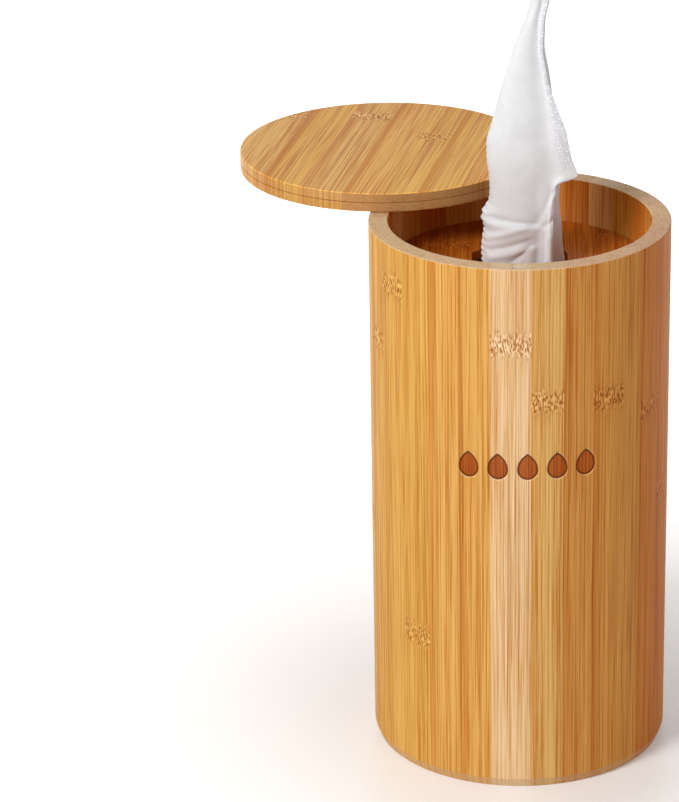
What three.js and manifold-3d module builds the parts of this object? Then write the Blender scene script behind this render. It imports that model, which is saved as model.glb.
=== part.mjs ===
// Wet wipes dispenser: a turned bamboo tube with a swivelling two-ply lid, a lift-out
// plate that the wipe is drawn through, and a centre-pull roll of wipes inside.
// Millimetres, +Z up, -Y to the front. The origin is on the tube's axis, at its foot.

import * as THREE from "three";
import { mergeVertices } from "three/addons/utils/BufferGeometryUtils.js";
import Module from "manifold-3d";

const wasm = await Module();
wasm.setup();

// Driving dimensions: the wipes that the tube is made round
const ROLL_RADIUS = 49;
const ROLL_HEIGHT = 178;
const CORE_RADIUS = 15;
const TURN_RIDGES = 7; // turns that show on the roll's two ends
const TURN_RELIEF = 0.8;
const ROLL_EDGE = 1.5;
const WIPE_THICKNESS = 0.8;
const WIPE_RISE = 118; // top of the drawn wipe above the plate's face
const TAIL_IN_CORE = 25.3; // how far the drawn wipe reaches down into the roll
const PLEATS = 4; // gathers down the back of the drawn wipe
const PLEAT_SHARE = 0.55; // how deep they reach at the hole, as a share of half the depth
const PLEATS_FROM = 0.14; // where they start and end, as shares of the way from left to right
const PLEATS_TO = 0.88;

// Driving dimensions: the tube
const ROLL_ROOM = 2.5; // round the roll, for lifting it out
const HEADROOM = 19.7; // between the roll and the plate
const RIM_WALL = 8; // wall above the plate's ledge
const LEDGE_WIDTH = 2.5; // step in the bore that the plate lies on
const RIM_CHAMFER = 0.6;
const FOOT_BEVEL_WIDTH = 1.6;
const FOOT_BEVEL_HEIGHT = 4.2;

// Driving dimensions: the base disc, let into the foot from below
const BASE_THICKNESS = 8;
const BASE_REBATE = 3; // how far the disc's seat is cut into the wall

// Driving dimensions: the lift-out plate
const PLATE_DEPTH = 19; // from the rim down to the plate's face
const PLATE_THICKNESS = 5;
const PLATE_CHAMFER = 0.5;
const HOLE_WIDTH = 39;
const HOLE_DEPTH = 33;
const HOLE_CORNER = 7;

// Driving dimensions: the lid, its pin and its magnets
const TOP_PLY = 4;
const BOTTOM_PLY = 4;
const LID_CHAMFER = 0.6;
const GLUE_GROOVE = 0.25; // small V along the glue line between the plies
const LID_OPEN_ANGLE = 100; // degrees from closed, as it stands at rest
const PIN_RADIUS = 2;
const PIN_IN_TOP_PLY = 2.5;
const PIN_IN_TUBE = 20;
const PIN_CHAMFER = 0.4;
const MAGNET_RADIUS = 2.75;
const MAGNET_THICKNESS = 3;

// Driving dimensions: the row of drops sunk into the front of the tube
const DROP_COUNT = 5;
const DROP_PITCH = 12.2;
const DROP_RADIUS = 4.3;
const DROP_HEIGHT = 11.5;
const DROP_SINK = 0.5;
const DROP_LEVEL = 145.5; // height of the row's middle above the foot
const DROP_TURN = 3.2; // degrees from the front round to the row's middle

// Fits and clearances
const LID_GAP = 0.3; // running gap between lid and rim
const PIN_RUNNING = 0.08; // radial, pin in the tube
const GLUED_GAP = 0.05; // radial, for what is glued into a hole
const PIN_END_GAP = 0.3;
const BASE_FIT = 0.3; // radial, disc in its rebate
const PLATE_FIT = 0.4; // radial, plate in the bore
const ROLL_SEAT = 0.3; // roll above the base disc
const WIPE_SEAT = 0.4; // drawn wipe beside the right edge of the hole
const OVERCUT = 2; // how far a cutter stands out of what it cuts

// Facets round a full circle
const ROUND = 96;
const ROUND_SMALL = 32;
const ROLL_ROUND = 64;
const CORNER_FACETS = 5;
const DROP_FACETS = 12;
const RIBBON_STEPS = 56;

// Derived radii, from the roll outwards
const LOWER_BORE = ROLL_RADIUS + ROLL_ROOM;
const BORE_RADIUS = LOWER_BORE + LEDGE_WIDTH;
const OUTER_RADIUS = BORE_RADIUS + RIM_WALL;
const BASE_SEAT = LOWER_BORE + BASE_REBATE;
const MID_WALL = OUTER_RADIUS - RIM_WALL / 2;

// Derived levels, from the foot upwards
const ROLL_FLOOR = BASE_THICKNESS + ROLL_SEAT;
const LEDGE_LEVEL = ROLL_FLOOR + ROLL_HEIGHT + HEADROOM;
const PLATE_TOP = LEDGE_LEVEL + PLATE_THICKNESS;
const TUBE_HEIGHT = PLATE_TOP + PLATE_DEPTH;

const material = (color, roughness, metalness = 0) =>
  new THREE.MeshStandardMaterial({ color, roughness, metalness });
const bamboo = () => material("#c99a5b", 0.5);
const bambooDeep = () => material("#b8742f", 0.35);
const steel = () => material("#b9bcc0", 0.35, 1);
const nonwoven = () => material("#e9e9e6", 0.9);

// Only positions are kept, so that the vertices along each edge become one
function closed(geometry) {
  geometry.deleteAttribute("normal");
  geometry.deleteAttribute("uv");
  return mergeVertices(geometry, 1e-4);
}

function solid(geometry) {
  const merged = closed(geometry);
  return new wasm.Manifold(
    new wasm.Mesh({
      numProp: 3,
      vertProperties: new Float32Array(merged.attributes.position.array),
      triVerts: new Uint32Array(merged.index.array),
    }),
  );
}

function geometryOf(body) {
  const mesh = body.getMesh();
  const geometry = new THREE.BufferGeometry();
  geometry.setAttribute("position", new THREE.BufferAttribute(mesh.vertProperties, 3));
  geometry.setIndex(new THREE.BufferAttribute(mesh.triVerts, 1));
  return geometry;
}

// A ring or disc turned about Z from [radius, height] points that run up the outside
function turned(points, facets) {
  const profile = points.map(([radius, height]) => new THREE.Vector2(radius, height));
  if (points[0][0] > 0) profile.push(profile[0].clone());
  return new THREE.LatheGeometry(profile, facets).rotateX(Math.PI / 2);
}

// An upright round bar from one level to another, for pins, magnets and their holes
function bar(radius, low, high, x = 0, y = 0) {
  const length = high - low;
  return new THREE.CylinderGeometry(radius, radius, length, ROUND_SMALL)
    .rotateX(Math.PI / 2)
    .translate(x, y, low + length / 2);
}

function named(name, geometry, look) {
  const mesh = new THREE.Mesh(geometry, look);
  mesh.name = name;
  return mesh;
}

// A water drop, point up, centred on its own middle
function dropShape() {
  const low = -DROP_HEIGHT / 2 + DROP_RADIUS;
  const shape = new THREE.Shape();
  shape.moveTo(0, DROP_HEIGHT / 2);
  shape.quadraticCurveTo(-DROP_RADIUS, low + DROP_RADIUS, -DROP_RADIUS, low);
  shape.absarc(0, low, DROP_RADIUS, Math.PI, 2 * Math.PI, false);
  shape.quadraticCurveTo(DROP_RADIUS, low + DROP_RADIUS, 0, DROP_HEIGHT / 2);
  return shape;
}

// The row of drops as a cutter: straight bars, kept only in the skin of the tube's wall
function dropCutters() {
  const low = DROP_LEVEL - DROP_HEIGHT;
  const high = DROP_LEVEL + DROP_HEIGHT;
  const inner = OUTER_RADIUS - DROP_SINK;
  const outer = OUTER_RADIUS + OVERCUT;
  const skin = solid(turned([[outer, low], [outer, high], [inner, high], [inner, low]], ROUND));
  let row = null;
  for (let i = 0; i < DROP_COUNT; i++) {
    const arc = (i - (DROP_COUNT - 1) / 2) * DROP_PITCH;
    const turn = arc / OUTER_RADIUS + THREE.MathUtils.degToRad(DROP_TURN);
    const drop = new THREE.ExtrudeGeometry(dropShape(), {
      depth: outer,
      bevelEnabled: false,
      curveSegments: DROP_FACETS,
    })
      .rotateX(Math.PI / 2)
      .rotateZ(turn)
      .translate(0, 0, DROP_LEVEL);
    const cut = solid(drop).intersect(skin);
    row = row ? row.add(cut) : cut;
  }
  return row;
}

// The tube: rim, bore, plate ledge, base rebate and bevelled foot
function tube() {
  const wall = solid(
    turned(
      [
        [OUTER_RADIUS - FOOT_BEVEL_WIDTH, 0],
        [OUTER_RADIUS, FOOT_BEVEL_HEIGHT],
        [OUTER_RADIUS, TUBE_HEIGHT - RIM_CHAMFER],
        [OUTER_RADIUS - RIM_CHAMFER, TUBE_HEIGHT],
        [BORE_RADIUS + RIM_CHAMFER, TUBE_HEIGHT],
        [BORE_RADIUS, TUBE_HEIGHT - RIM_CHAMFER],
        [BORE_RADIUS, LEDGE_LEVEL],
        [LOWER_BORE, LEDGE_LEVEL],
        [LOWER_BORE, BASE_THICKNESS],
        [BASE_SEAT, BASE_THICKNESS],
        [BASE_SEAT, 0],
      ],
      ROUND,
    ),
  );
  const above = TUBE_HEIGHT + OVERCUT;
  const pinHole = TUBE_HEIGHT - PIN_IN_TUBE - PIN_END_GAP;
  const pocket = TUBE_HEIGHT - MAGNET_THICKNESS - GLUED_GAP;
  const cut = wall
    .subtract(solid(bar(PIN_RADIUS + PIN_RUNNING, pinHole, above, 0, MID_WALL)))
    .subtract(solid(bar(MAGNET_RADIUS + GLUED_GAP, pocket, above, 0, -MID_WALL)))
    .subtract(dropCutters());
  return named("tube", geometryOf(cut), bamboo());
}

function baseDisc() {
  const radius = BASE_SEAT - BASE_FIT;
  const disc = turned([[0, 0], [radius, 0], [radius, BASE_THICKNESS], [0, BASE_THICKNESS]], ROUND);
  return named("base_disc", closed(disc), bamboo());
}

// A rounded rectangle, centred, as the outline of the hole
function holeOutline() {
  const x = HOLE_WIDTH / 2;
  const y = HOLE_DEPTH / 2;
  const quarter = Math.PI / 2;
  const path = new THREE.Path();
  path.absarc(x - HOLE_CORNER, y - HOLE_CORNER, HOLE_CORNER, 0, quarter);
  path.absarc(-x + HOLE_CORNER, y - HOLE_CORNER, HOLE_CORNER, quarter, 2 * quarter);
  path.absarc(-x + HOLE_CORNER, -y + HOLE_CORNER, HOLE_CORNER, 2 * quarter, 3 * quarter);
  path.absarc(x - HOLE_CORNER, -y + HOLE_CORNER, HOLE_CORNER, 3 * quarter, 4 * quarter);
  path.closePath();
  return path;
}

// The lift-out plate lies on the ledge
function innerPlate() {
  const radius = BORE_RADIUS - PLATE_FIT;
  const rounded = turned(
    [
      [0, 0],
      [radius - PLATE_CHAMFER, 0],
      [radius, PLATE_CHAMFER],
      [radius, PLATE_THICKNESS - PLATE_CHAMFER],
      [radius - PLATE_CHAMFER, PLATE_THICKNESS],
      [0, PLATE_THICKNESS],
    ],
    ROUND,
  );
  const hole = new THREE.ExtrudeGeometry(new THREE.Shape(holeOutline().getPoints(CORNER_FACETS)), {
    depth: PLATE_THICKNESS + 2 * OVERCUT,
    bevelEnabled: false,
  }).translate(0, 0, -OVERCUT);
  const mesh = named("inner_plate", geometryOf(solid(rounded).subtract(solid(hole))), bambooDeep());
  mesh.position.z = LEDGE_LEVEL;
  return mesh;
}

// The roll: one solid ring, with its turns as ridges on both ends
function wipesRoll() {
  const band = (ROLL_RADIUS - ROLL_EDGE - CORE_RADIUS) / TURN_RIDGES;
  const points = [[ROLL_RADIUS, ROLL_EDGE], [ROLL_RADIUS, ROLL_HEIGHT - ROLL_EDGE]];
  for (let i = 0; i < TURN_RIDGES; i++) {
    const edge = ROLL_RADIUS - ROLL_EDGE - i * band;
    points.push([edge, ROLL_HEIGHT], [edge - band / 2, ROLL_HEIGHT - TURN_RELIEF]);
  }
  points.push([CORE_RADIUS, ROLL_HEIGHT]);
  points.push([CORE_RADIUS, 0]);
  for (let i = TURN_RIDGES - 1; i >= 0; i--) {
    const edge = ROLL_RADIUS - ROLL_EDGE - i * band;
    points.push([edge - band / 2, TURN_RELIEF], [edge, 0]);
  }
  const mesh = named("wipes_roll", closed(turned(points, ROLL_ROUND)), nonwoven());
  mesh.position.z = ROLL_FLOOR;
  return mesh;
}

// Where the drawn wipe stands at one height above the plate's face: its left and right edges,
// the vertical fold in its front, its loose corner and half its depth from front to back
const inCore = (height, left, right, fold, corner, depth) => ({
  height,
  left: left * CORE_RADIUS,
  right: right * CORE_RADIUS,
  fold: fold * CORE_RADIUS,
  corner: corner * CORE_RADIUS,
  depth: depth * CORE_RADIUS,
});
const inHole = (height, left, right, fold, corner, depth) => ({
  height,
  left: (left * HOLE_WIDTH) / 2,
  right: (right * HOLE_WIDTH) / 2,
  fold: (fold * HOLE_WIDTH) / 2,
  corner: (corner * HOLE_WIDTH) / 2,
  depth: (depth * HOLE_DEPTH) / 2,
});
const risen = (share, ...shape) => inHole(share * WIPE_RISE, ...shape);

// Sideways the numbers are shares of half the hole's width, or of the core's radius, and the
// last one is a share of half the hole's depth, or of the core's radius again
const CORE_MOUTH = -PLATE_THICKNESS - HEADROOM;
const SEATED = 1 - (2 * WIPE_SEAT + WIPE_THICKNESS) / HOLE_WIDTH;
const WIPE_ROWS = [
  inCore(CORE_MOUTH - TAIL_IN_CORE, -0.67, 0.67, 0.27, 0.47, 0.53),
  inCore(CORE_MOUTH, -0.73, 0.8, 0.4, 0.6, 0.6),
  inHole(-1.6 * PLATE_THICKNESS, -0.72, 0.92, 0.46, 0.65, 0.545),
  inHole(0, -0.754, SEATED, 0.508, 0.69, 0.545),
  risen(0.068, -0.785, 0.882, 0.513, 0.7, 0.57),
  risen(0.14, -0.723, 0.862, 0.513, 0.7, 0.57),
  risen(0.178, -0.846, 0.851, 0.528, 0.71, 0.558),
  risen(0.22, -0.662, 0.826, 0.559, 0.72, 0.533),
  risen(0.28, -0.656, 0.831, 0.625, 0.75, 0.52),
  risen(0.305, -0.656, 0.826, 0.64, 0.8, 0.512),
  risen(0.331, -0.656, 0.81, 0.645, 1.251, 0.505),
  risen(0.39, -0.672, 0.79, 0.626, 1.103, 0.485),
  risen(0.449, -0.677, 0.769, 0.595, 1.015, 0.455),
  risen(0.496, -0.59, 0.738, 0.564, 0.964, 0.43),
  risen(0.568, -0.482, 0.697, 0.533, 0.8, 0.388),
  risen(0.665, -0.323, 0.615, 0.462, 0.579, 0.327),
  risen(0.771, -0.128, 0.492, 0.359, 0.462, 0.255),
  risen(0.881, 0.123, 0.503, 0.379, 0.492, 0.212),
  risen(0.932, 0.226, 0.585, 0.441, 0.564, 0.188),
  risen(1, 0.215, 0.646, 0.482, 0.626, 0.218),
];

// One level of the wipe seen from above: from the loose corner along the front, round the
// left side, in pleats along the back, round the right side and into the middle. Sideways,
// `across` takes shares from left to right and `along` from the fold to the left edge.
function ribbonLine({ left, right, fold, corner, depth }) {
  const across = (share) => THREE.MathUtils.lerp(left, right, share);
  const along = (share) => THREE.MathUtils.lerp(fold, left, share);
  const places = [
    [corner, -1.05 * depth],
    [(corner + fold) / 2, -1.12 * depth],
    [fold, -0.86 * depth],
    [along(0.35), -1.06 * depth],
    [along(0.7), -0.98 * depth],
    [across(0.06), -0.62 * depth],
    [across(0), 0],
    [across(0.06), 0.66 * depth],
  ];
  const valley = 1 - (PLEAT_SHARE * depth * 2) / HOLE_DEPTH;
  for (let i = 0; i <= 2 * PLEATS; i++) {
    const share = THREE.MathUtils.lerp(PLEATS_FROM, PLEATS_TO, i / (2 * PLEATS));
    places.push([across(share), i % 2 ? valley * depth : depth]);
  }
  places.push(
    [across(0.96), 0.6 * depth],
    [across(1), 0.05 * depth],
    [across(0.88), -0.32 * depth],
    [across(0.6), -0.18 * depth],
    [across(0.3), 0.12 * depth],
  );
  const curve = new THREE.SplineCurve(places.map(([x, y]) => new THREE.Vector2(x, y)));
  return curve.getPoints(RIBBON_STEPS);
}

// The ring round one level: out along one face of the sheet and back along the other
function ribbonRing(row) {
  const line = ribbonLine(row);
  const faces = [[], []];
  line.forEach((point, i) => {
    const before = line[Math.max(i - 1, 0)];
    const after = line[Math.min(i + 1, line.length - 1)];
    const along = after.clone().sub(before).normalize();
    const aside = new THREE.Vector2(-along.y, along.x).multiplyScalar(WIPE_THICKNESS / 2);
    faces[0].push(point.clone().add(aside));
    faces[1].unshift(point.clone().sub(aside));
  });
  return faces.flat().map(({ x, y }) => new THREE.Vector3(x, y, row.height));
}

// The drawn wipe: a folded sheet that rises from the roll's core through the plate's hole
function drawnWipe() {
  const rings = WIPE_ROWS.map(ribbonRing);
  const size = rings[0].length;
  const index = [];
  for (let r = 0; r < rings.length - 1; r++) {
    for (let i = 0; i < size; i++) {
      const a = r * size + i;
      const b = r * size + ((i + 1) % size);
      index.push(a, b + size, b, a, a + size, b + size);
    }
  }
  const last = (rings.length - 1) * size;
  for (let i = 0; i < size / 2 - 1; i++) {
    const opposite = size - 1 - i;
    index.push(i, i + 1, opposite, i + 1, opposite - 1, opposite);
    index.push(last + i, last + opposite, last + i + 1);
    index.push(last + i + 1, last + opposite, last + opposite - 1);
  }
  const geometry = new THREE.BufferGeometry().setFromPoints(rings.flat()).setIndex(index);
  const mesh = named("drawn_wipe", geometry, nonwoven());
  mesh.position.z = PLATE_TOP;
  return mesh;
}

// One ply of the lid, on the lid's own centre, with its pin hole and magnet pocket cut out
function ply(name, low, high, lowCut, highCut, cutters) {
  const disc = turned(
    [
      [0, low],
      [OUTER_RADIUS - lowCut, low],
      [OUTER_RADIUS, low + lowCut],
      [OUTER_RADIUS, high - highCut],
      [OUTER_RADIUS - highCut, high],
      [0, high],
    ],
    ROUND,
  );
  const cut = cutters.reduce((body, cutter) => body.subtract(solid(cutter)), solid(disc));
  return named(name, geometryOf(cut), bamboo());
}

// The lid with what is glued into it; its own zero is the pin's axis at its underside
function lid() {
  const thickness = BOTTOM_PLY + TOP_PLY;
  const pinTop = BOTTOM_PLY + PIN_IN_TOP_PLY;
  const pinFoot = -PIN_IN_TUBE - LID_GAP;
  const pinHole = () => bar(PIN_RADIUS + GLUED_GAP, -OVERCUT, pinTop + GLUED_GAP, 0, MID_WALL);
  const pocket = bar(MAGNET_RADIUS + GLUED_GAP, -OVERCUT, MAGNET_THICKNESS + GLUED_GAP, 0, -MID_WALL);
  const pin = turned(
    [
      [0, pinFoot],
      [PIN_RADIUS - PIN_CHAMFER, pinFoot],
      [PIN_RADIUS, pinFoot + PIN_CHAMFER],
      [PIN_RADIUS, pinTop],
      [0, pinTop],
    ],
    ROUND_SMALL,
  ).translate(0, MID_WALL, 0);
  const group = new THREE.Group();
  const onCentre = new THREE.Group();
  onCentre.position.y = -MID_WALL;
  onCentre.add(
    ply("lid_bottom_ply", 0, BOTTOM_PLY, LID_CHAMFER, GLUE_GROOVE, [pinHole(), pocket]),
    ply("lid_top_ply", BOTTOM_PLY, thickness, GLUE_GROOVE, LID_CHAMFER, [pinHole()]),
    named("pivot_pin", closed(pin), steel()),
    named("lid_magnet", closed(bar(MAGNET_RADIUS, 0, MAGNET_THICKNESS, 0, -MID_WALL)), steel()),
  );
  group.add(onCentre);
  group.position.set(0, MID_WALL, TUBE_HEIGHT + LID_GAP);
  group.rotation.z = -THREE.MathUtils.degToRad(LID_OPEN_ANGLE);
  return group;
}

function rimMagnet() {
  const magnet = bar(MAGNET_RADIUS, TUBE_HEIGHT - MAGNET_THICKNESS, TUBE_HEIGHT, 0, -MID_WALL);
  return named("rim_magnet", closed(magnet), steel());
}

const dispenser = new THREE.Group();
dispenser.name = "wet_wipes_dispenser";
dispenser.add(tube(), baseDisc(), innerPlate(), rimMagnet(), wipesRoll(), drawnWipe(), lid());

export default dispenser;
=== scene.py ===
# Wet wipes dispenser: finish of every surface, the drawn wipe as a folded sheet, light and camera.
# Metres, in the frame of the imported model: +Z up, -Y to the front.
import math

import bmesh
import bpy
import numpy as np
from mathutils import Matrix, Vector


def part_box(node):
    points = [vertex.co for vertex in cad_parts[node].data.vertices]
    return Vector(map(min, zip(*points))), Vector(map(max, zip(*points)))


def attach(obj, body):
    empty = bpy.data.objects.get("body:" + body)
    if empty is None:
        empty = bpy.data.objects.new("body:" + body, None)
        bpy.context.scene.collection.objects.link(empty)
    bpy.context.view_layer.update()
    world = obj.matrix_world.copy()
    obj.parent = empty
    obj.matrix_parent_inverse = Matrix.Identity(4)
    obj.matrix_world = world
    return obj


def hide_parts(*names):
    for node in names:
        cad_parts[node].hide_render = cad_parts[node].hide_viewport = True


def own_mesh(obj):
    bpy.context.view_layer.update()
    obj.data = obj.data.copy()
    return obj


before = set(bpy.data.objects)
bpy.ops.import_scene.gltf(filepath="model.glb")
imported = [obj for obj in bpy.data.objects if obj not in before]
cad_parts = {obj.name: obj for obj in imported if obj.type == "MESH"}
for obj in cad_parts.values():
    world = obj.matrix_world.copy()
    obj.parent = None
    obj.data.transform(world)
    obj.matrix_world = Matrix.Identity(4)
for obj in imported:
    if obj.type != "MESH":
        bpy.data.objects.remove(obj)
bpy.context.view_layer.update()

MM = 0.001

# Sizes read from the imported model
TUBE_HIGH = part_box("tube")[1]
PLATE_LOW, PLATE_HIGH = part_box("inner_plate")
LID_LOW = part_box("lid_top_ply")[0]
ROLL_LOW, ROLL_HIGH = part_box("wipes_roll")
DISC_LOW, DISC_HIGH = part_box("base_disc")
WIPE_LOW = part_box("drawn_wipe")[0]
RADIUS = TUBE_HIGH.x
HEIGHT = TUBE_HIGH.z
PLATE_TOP = PLATE_HIGH.z
LEDGE = PLATE_LOW.z

# Sizes that the boxes don't show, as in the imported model
RIM_WALL = 8 * MM
LEDGE_WIDTH = 2.5 * MM
FOOT_BEVEL_WIDTH = 1.6 * MM
FOOT_BEVEL_HEIGHT = 4.2 * MM
BASE_FIT = 0.3 * MM
HOLE_WIDTH = 39 * MM
HOLE_DEPTH = 33 * MM
HOLE_CORNER = 7 * MM
HOLE_ROUND = 0.7 * MM
PLATE_ROUND = 0.5 * MM
CORE_RADIUS = 15 * MM
PIN_TO_CENTRE = RADIUS - RIM_WALL / 2
LID_OPEN_ANGLE = math.radians(100)
ARRIS = 0.6 * MM
MAGNET_HOLE = 2.88 * MM
MAGNET_DEPTH = 3.05 * MM
PIN_HOLE = 2.08 * MM
PIN_DEPTH = 20.3 * MM
PIN_IN_LID = 2.55 * MM
LOWER_BOARD = 4 * MM
BORE = RADIUS - RIM_WALL
LOWER_BORE = BORE - LEDGE_WIDTH

# Details of the finer meshes
ROUND_STEPS = 4
SUPPORT = 0.5 * MM  # how far beside a round its next point lies
DRILL_PAST = 2 * MM  # how far a drill reaches past the face that it enters
DRILL_SIDES = 64
FOOT_ROUND = 0.4 * MM
BEVEL_ROUND = 0.5 * MM
INNER_ROUND = 0.3 * MM
BASE_ROUNDS = (0.4 * MM, 0.3 * MM)
DISC_COLUMNS = 288
PLATE_COLUMNS = 240
ROLL_COLUMNS = 144
SLANT = (0.3, 0.93)  # how upright the normal of a rounded arris is, at least and at most


# Meshes

def srgb(red, green, blue):
    """A colour written as 0 to 255, as the linear values that Blender takes."""
    return tuple(
        v / 12.92 if v <= 0.04045 else ((v + 0.055) / 1.055) ** 2.4
        for v in (red / 255, green / 255, blue / 255)
    )


def rounded(corners, closed=False):
    """A profile of (radius, level, round) corners, each rounded, with a point close beside each round."""
    points = []
    count = len(corners)
    for i, (r, z, size) in enumerate(corners):
        here = np.array((r, z))
        if size == 0 or (not closed and i in (0, count - 1)):
            points.append(here)
            continue
        before = np.array(corners[i - 1][:2]) - here
        after = np.array(corners[(i + 1) % count][:2]) - here
        long_before, long_after = np.linalg.norm(before), np.linalg.norm(after)
        before, after = before / long_before, after / long_after
        if size + SUPPORT < 0.45 * long_before:
            points.append(here + before * (size + SUPPORT))
        for k in range(ROUND_STEPS + 1):
            t = k / ROUND_STEPS
            points.append(here + before * size * (1 - t) ** 2 + after * size * t * t)
        if size + SUPPORT < 0.45 * long_after:
            points.append(here + after * (size + SUPPORT))
    return np.array(points)


def mesh_object(name, vertices, faces):
    """A smooth mesh whose faces look outward, in an object of its own."""
    mesh = bpy.data.meshes.new(name)
    mesh.from_pydata([tuple(v) for v in vertices], [], faces)
    mesh.validate()
    turned = bmesh.new()
    turned.from_mesh(mesh)
    bmesh.ops.recalc_face_normals(turned, faces=turned.faces)
    turned.to_mesh(mesh)
    turned.free()
    mesh.shade_smooth()
    obj = bpy.data.objects.new(name, mesh)
    bpy.context.scene.collection.objects.link(obj)
    return obj


def corner_layer(mesh, name, values, kind="FLOAT_VECTOR"):
    """Stores one value for each face corner."""
    layer = mesh.attributes.new(name, kind, "CORNER")
    key = "color" if kind == "FLOAT_COLOR" else "vector"
    layer.data.foreach_set(key, np.asarray(values, np.float32).ravel())


def corner_table(mesh):
    """The place of each face corner, and the middle and normal of the face that it belongs to."""
    count = len(mesh.loops)
    index = np.zeros(count, np.int32)
    mesh.loops.foreach_get("vertex_index", index)
    place = np.zeros(len(mesh.vertices) * 3)
    mesh.vertices.foreach_get("co", place)
    middle = np.zeros(len(mesh.polygons) * 3)
    mesh.polygons.foreach_get("center", middle)
    normal = np.zeros(len(mesh.polygons) * 3)
    mesh.polygons.foreach_get("normal", normal)
    sizes = np.zeros(len(mesh.polygons), np.int32)
    mesh.polygons.foreach_get("loop_total", sizes)
    face = np.repeat(np.arange(len(sizes)), sizes)
    return place.reshape(-1, 3)[index], middle.reshape(-1, 3)[face], normal.reshape(-1, 3)[face]


def grid_faces(rows, columns, close_rows, close_columns):
    """Faces of a grid whose vertex numbers run along each row."""
    r = np.arange(rows if close_rows else rows - 1)
    c = np.arange(columns if close_columns else columns - 1)
    r, c = [v.ravel() for v in np.meshgrid(r, c, indexing="ij")]
    r1, c1 = (r + 1) % rows, (c + 1) % columns
    corners = (r * columns + c, r * columns + c1, r1 * columns + c1, r1 * columns + c)
    return np.stack(corners, -1).tolist()


def revolved(profile, angles):
    """Points of a profile turned to each angle, where angle 0 is the front and +X comes next."""
    r, z = profile[:, 0][None], profile[:, 1][None]
    a = np.asarray(angles)[:, None]
    return np.stack([r * np.sin(a), -r * np.cos(a), z + 0 * a], -1)


def even_angles(count):
    """Angles all round, from the back."""
    return np.linspace(-math.pi, math.pi, count, endpoint=False)


def grid_object(name, points):
    """A mesh from a grid of points that closes both ways."""
    rows, columns = points.shape[:2]
    return mesh_object(name, points.reshape(-1, 3), grid_faces(rows, columns, True, True))


# Bamboo boards: where one ends, its tint, its node mark and how dark its denser edge is

class Boards:
    """Glued strips side by side: cuts between them, and one tint, mark and edge for each."""

    def __init__(self, cuts, tints, marks, edges):
        self.cuts, self.tints, self.marks, self.edges = map(np.asarray, (cuts, tints, marks, edges))

    def dress(self, mesh, across_of, along_of, end_of, period=None, deeper=None):
        """Writes each corner's place in its board, the board's looks, and where its end shows."""
        place, middle, normal = corner_table(mesh)
        across, own = across_of(place), across_of(middle)
        if period:
            across = own + (across - own + period / 2) % period - period / 2
        number = np.clip(np.searchsorted(self.cuts, own) - 1, 0, len(self.tints) - 1)
        low, high = self.cuts[number], self.cuts[number + 1]
        inside = 2 * (across - low) / (high - low) - 1
        seed = (number * 0.37 + 0.11) % 1
        end = end_of(place, normal)
        corner_layer(mesh, "grain", np.stack([across, along_of(place), end], -1))
        corner_layer(mesh, "board", np.stack([seed, self.marks[number], inside], -1))
        tint = np.column_stack([self.tints[number], self.edges[number]])
        # deeper multiplies the tint: painted shade in the tube's bore, painted highlights on rounded
        # arrises, and the lid's real dark glue line
        if deeper:
            tint[:, :3] *= deeper(place, normal)
        corner_layer(mesh, "tint", tint, "FLOAT_COLOR")


def in_metres(marks):
    """Node marks in metres, from mm."""
    return [NO_MARK if mark == NO_MARK else mark * MM for mark in marks]


def split_faces(obj, normal, levels):
    """Cuts the mesh along planes, so that each face lies in one board."""
    mesh = bmesh.new()
    mesh.from_mesh(obj.data)
    normal = Vector(normal)
    for level in levels:
        everything = mesh.verts[:] + mesh.edges[:] + mesh.faces[:]
        bmesh.ops.bisect_plane(mesh, geom=everything, dist=1e-7, plane_co=normal * level, plane_no=normal)
    mesh.to_mesh(obj.data)
    mesh.free()
    obj.data.shade_smooth()


def drilled(obj, place, radius, low, high):
    """Cuts an upright round hole into a mesh that isn't dressed yet."""
    x, y = place
    middle = (x, y, (low + high) / 2)
    bpy.ops.mesh.primitive_cylinder_add(
        vertices=DRILL_SIDES, radius=radius, depth=high - low, location=middle
    )
    cutter = bpy.context.object
    cut = obj.modifiers.new("hole", "BOOLEAN")
    cut.operation = "DIFFERENCE"
    cut.solver = "EXACT"
    cut.object = cutter
    shape = obj.evaluated_get(bpy.context.evaluated_depsgraph_get())
    mesh = bpy.data.meshes.new_from_object(shape)
    obj.modifiers.clear()
    obj.data = mesh
    mesh.shade_smooth()
    bpy.data.objects.remove(cutter)


# Tints by name, as they look in even light
GOLD = srgb(222, 168, 82)
HONEY = srgb(225, 169, 88)
PALE = srgb(236, 195, 142)
STRAW = srgb(223, 172, 98)
TAN = srgb(216, 149, 72)
AMBER = srgb(212, 147, 72)
RUSSET = srgb(208, 128, 54)
BEIGE = srgb(212, 194, 170)
ROSY = srgb(176, 128, 98)
NO_MARK = -1.0  # a place that no board reaches
MARK_HALF = 4.8 * MM  # half the height of a node mark


# Materials

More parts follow.
